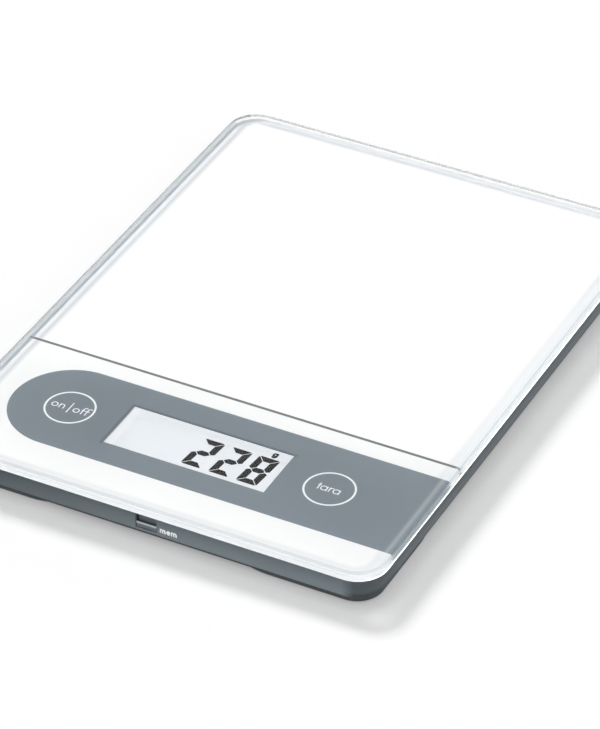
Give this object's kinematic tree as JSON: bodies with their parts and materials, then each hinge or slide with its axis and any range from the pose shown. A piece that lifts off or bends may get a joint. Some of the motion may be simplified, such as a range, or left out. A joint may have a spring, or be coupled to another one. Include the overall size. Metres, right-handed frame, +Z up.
{
  "type": "kitchen scale",
  "caption": "Slim electronic kitchen scale: white-backed glass platform over a grey housing with corner pods, a flat display, touch rings, a front memory key and a battery door underneath.",
  "frame": {"origin": "centre of the footprint, on the table under the feet", "axes": "+X to the right of a person facing the display, +Y from the front edge with the memory key to the back, +Z up"},
  "size_m": [0.18, 0.247, 0.015],
  "materials": {
    "black_resin": "black potting resin",
    "black_tape": "black foam bonding tape",
    "cell_steel": "nickel-plated steel",
    "clear_glass": "clear toughened glass, polished",
    "contact_metal": "nickel-plated spring strip",
    "dark_cover": "moulded dark grey plastic, fine matt",
    "display_glass": "thin display glass",
    "foot_plastic": "black moulded plastic",
    "foot_rubber": "soft black rubber",
    "green_board": "green solder-masked circuit board",
    "grey_foam": "conductive fabric over foam",
    "grey_housing": "moulded mid-grey plastic, fine satin",
    "grey_lead": "grey ribbon lead",
    "key_plastic": "moulded grey plastic",
    "pale_reflector": "pale satin reflector film",
    "plated_steel": "plated spring steel",
    "screw_steel": "zinc-plated steel",
    "striped_rubber": "silicone rubber",
    "switch_black": "black moulded plastic",
    "white_moulding": "white moulded plastic",
    "white_print": "white ink on the back of the glass, with grey artwork",
    "white_sealant": "white silicone sealant",
    "wire_red": "thin insulated wire"
  },
  "bodies": {
    "scale_body": {"battery_leads": "wire_red", "board_screws": "screw_steel", "bonding_tape": "black_tape", "bottom_cover": "dark_cover", "cell_bracket_front_left": "white_moulding", "cell_bracket_front_right": "white_moulding", "cell_bracket_rear_left": "white_moulding", "cell_bracket_rear_right": "white_moulding", "circuit_board": "green_board", "coin_cell": "cell_steel", "controller_chip": "black_resin", "cover_screws": "screw_steel", "dust_gasket": "black_tape", "foot_front_left": "foot_plastic", "foot_front_right": "foot_plastic", "foot_pad_front_left": "foot_rubber", "foot_pad_front_right": "foot_rubber", "foot_pad_rear_left": "foot_rubber", "foot_pad_rear_right": "foot_rubber", "foot_rear_left": "foot_plastic", "foot_rear_right": "foot_plastic", "glass_platform": "clear_glass", "lcd_frame": "white_moulding", "lcd_front_glass": "display_glass", "lcd_rear_glass": "display_glass", "lcd_reflector": "pale_reflector", "load_cell_front_left": "plated_steel", "load_cell_front_right": "plated_steel", "load_cell_rear_left": "plated_steel", "load_cell_rear_right": "plated_steel", "mem_switch": "switch_black", "negative_contact": "contact_metal", "positive_contact": "contact_metal", "printed_backing": "white_print", "rubber_connector": "striped_rubber", "sensor_lead_front_left": "grey_lead", "sensor_lead_front_right": "grey_lead", "sensor_lead_rear_left": "grey_lead", "sensor_lead_rear_right": "grey_lead", "strain_gauge_front_left": "white_sealant", "strain_gauge_front_right": "white_sealant", "strain_gauge_rear_left": "white_sealant", "strain_gauge_rear_right": "white_sealant", "touch_foam_on_off": "grey_foam", "touch_foam_tare": "grey_foam", "unit_switch": "switch_black", "upper_housing": "grey_housing", "wire_connector": "white_moulding"},
    "mem_button": {"mem_button": "key_plastic", "mem_switch_plunger": "switch_black"},
    "unit_button": {"unit_button": "key_plastic", "unit_switch_plunger": "switch_black"},
    "battery_cover": {"battery_cover": "dark_cover"}
  },
  "joints": [
    {"name": "mem_button_press", "type": "slide", "parent": "scale_body", "child": "mem_button", "axis": [0, 1, 0], "range_m": [0, 0.0004], "stiffness_N_per_m": 1500},
    {"name": "unit_button_press", "type": "slide", "parent": "scale_body", "child": "unit_button", "axis": [0, 0, 1], "range_m": [0, 0.0003], "stiffness_N_per_m": 1500},
    {"name": "battery_cover_hinge", "type": "hinge", "parent": "scale_body", "child": "battery_cover", "pos_m": [0, -0.03055, 0.00245], "axis": [-1, 0, 0], "range_deg": [0, 80]}
  ]
}
